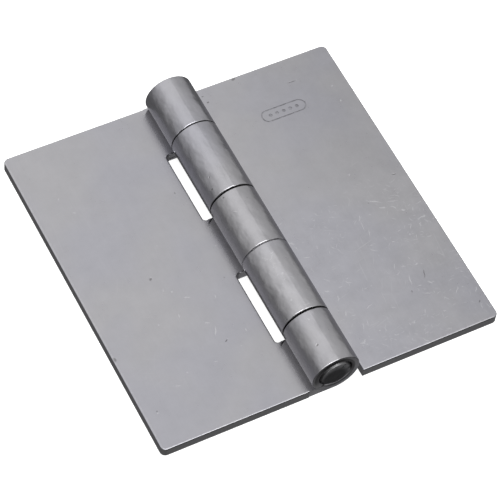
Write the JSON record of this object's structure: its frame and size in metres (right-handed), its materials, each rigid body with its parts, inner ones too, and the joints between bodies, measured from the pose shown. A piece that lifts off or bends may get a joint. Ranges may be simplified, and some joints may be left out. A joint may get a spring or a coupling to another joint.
{
  "type": "weld-on butt hinge",
  "caption": "Plain steel weld-on butt hinge: flat unpunched leaves with interleaved rolled knuckles that swing on a captive pin.",
  "frame": {"origin": "under the pin axis, halfway along the barrel, on the plane of both back faces when the hinge lies open flat", "axes": "+X across the hinge from the left leaf to the right leaf, +Y along the pin, +Z from the back faces towards the barrel"},
  "size_m": [0.1016, 0.1016, 0.0141],
  "materials": {
    "left_leaf_steel": "satin cold-rolled, uncoated",
    "right_leaf_steel": "satin cold-rolled, uncoated",
    "pin_steel": "dark oiled bar"
  },
  "bodies": {
    "left_side": {"left_leaf": "left_leaf_steel", "hinge_pin": "pin_steel"},
    "right_side": {"right_leaf": "right_leaf_steel"}
  },
  "joints": [
    {"name": "leaf_swing", "type": "hinge", "parent": "left_side", "child": "right_side", "pos_m": [0, 0, 0.00707], "axis": [0, -1, 0], "range_deg": [-96, 188]}
  ]
}
